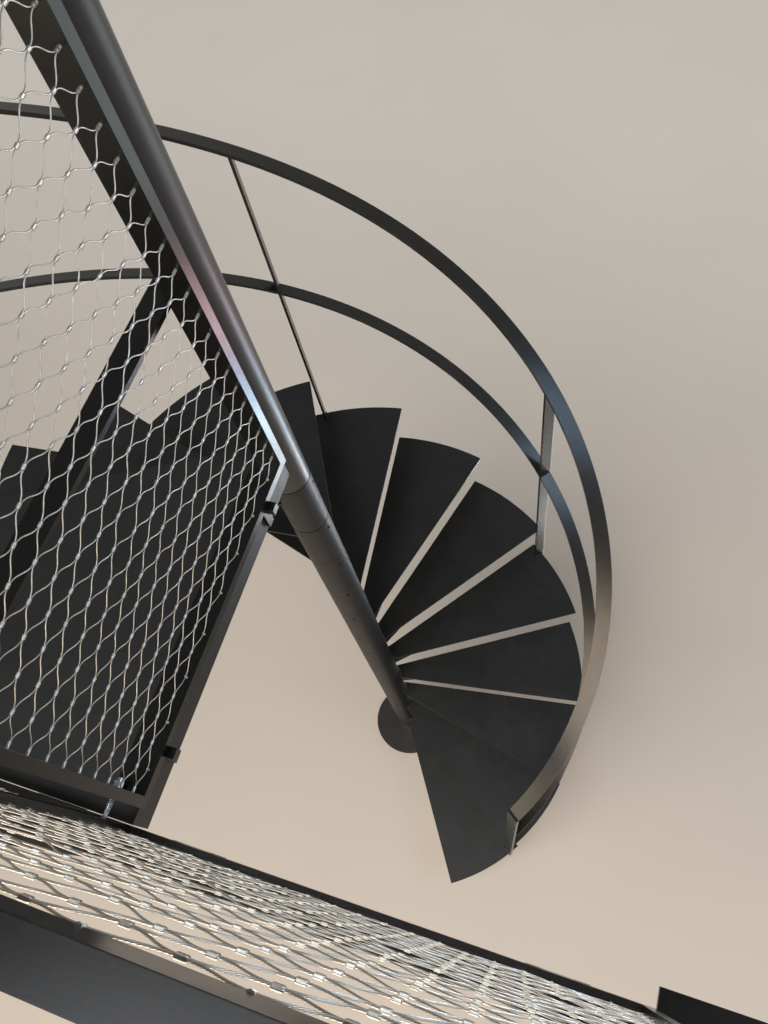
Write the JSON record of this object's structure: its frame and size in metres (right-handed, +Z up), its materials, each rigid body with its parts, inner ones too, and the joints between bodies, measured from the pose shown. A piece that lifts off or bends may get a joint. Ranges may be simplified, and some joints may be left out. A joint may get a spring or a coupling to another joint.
{
  "type": "spiral staircase",
  "caption": "Steel spiral stair with plate treads on a stacked sleeve column, flat-bar railing, landing and wire-net guards.",
  "frame": {"origin": "centre of the column on the underside of the foot flange", "axes": "+Z up the column, +X and +Y square to the edges of the upper floor's opening; the flight turns counter-clockwise going up"},
  "size_m": [2.039, 1.675, 3.8535],
  "materials": {
    "tread_coat": "matte fine-texture powder coat, anthracite",
    "railing_coat": "satin powder coat, anthracite brown",
    "column_coat": "satin powder coat, anthracite",
    "guard_coat": "satin powder coat, anthracite",
    "net_wire": "stainless wire rope with ferrules",
    "fastener_zinc": "zinc-plated thread"
  },
  "bodies": {
    "root": {"column_cap": "column_coat", "column_core": "column_coat", "end_post": "railing_coat", "foot_flange": "column_coat", "foot_sleeve": "column_coat", "gallery_edge_plate": "guard_coat", "gallery_guard_bottom_bar": "guard_coat", "gallery_guard_foot_1": "guard_coat", "gallery_guard_foot_2": "guard_coat", "gallery_guard_left_post": "guard_coat", "gallery_guard_net": "net_wire", "gallery_guard_right_post": "guard_coat", "gallery_guard_top_bar": "guard_coat", "handrail_1": "railing_coat", "handrail_2": "railing_coat", "handrail_3": "railing_coat", "landing_frame": "tread_coat", "landing_guard_bottom_bar": "guard_coat", "landing_guard_bracket_1": "guard_coat", "landing_guard_bracket_2": "guard_coat", "landing_guard_column_post": "guard_coat", "landing_guard_corner_post": "guard_coat", "landing_guard_mid_bar": "guard_coat", "landing_guard_net": "net_wire", "landing_guard_top_bar": "guard_coat", "landing_plate": "tread_coat", "mid_rail_1": "railing_coat", "mid_rail_2": "railing_coat", "mid_rail_3": "railing_coat", "near_guard_bottom_bar": "guard_coat", "near_guard_foot_1": "guard_coat", "near_guard_foot_2": "guard_coat", "near_guard_left_post": "guard_coat", "near_guard_net": "net_wire", "near_guard_right_post": "guard_coat", "near_guard_top_bar": "guard_coat", "post_05": "railing_coat", "post_08": "railing_coat", "post_12": "railing_coat", "tie_rod": "fastener_zinc", "tread_01": "tread_coat", "tread_02": "tread_coat", "tread_03": "tread_coat", "tread_04": "tread_coat", "tread_05": "tread_coat", "tread_06": "tread_coat", "tread_07": "tread_coat", "tread_08": "tread_coat", "tread_09": "tread_coat", "tread_10": "tread_coat", "tread_11": "tread_coat", "tread_12": "tread_coat", "upper_column": "column_coat"}
  },
  "joints": []
}
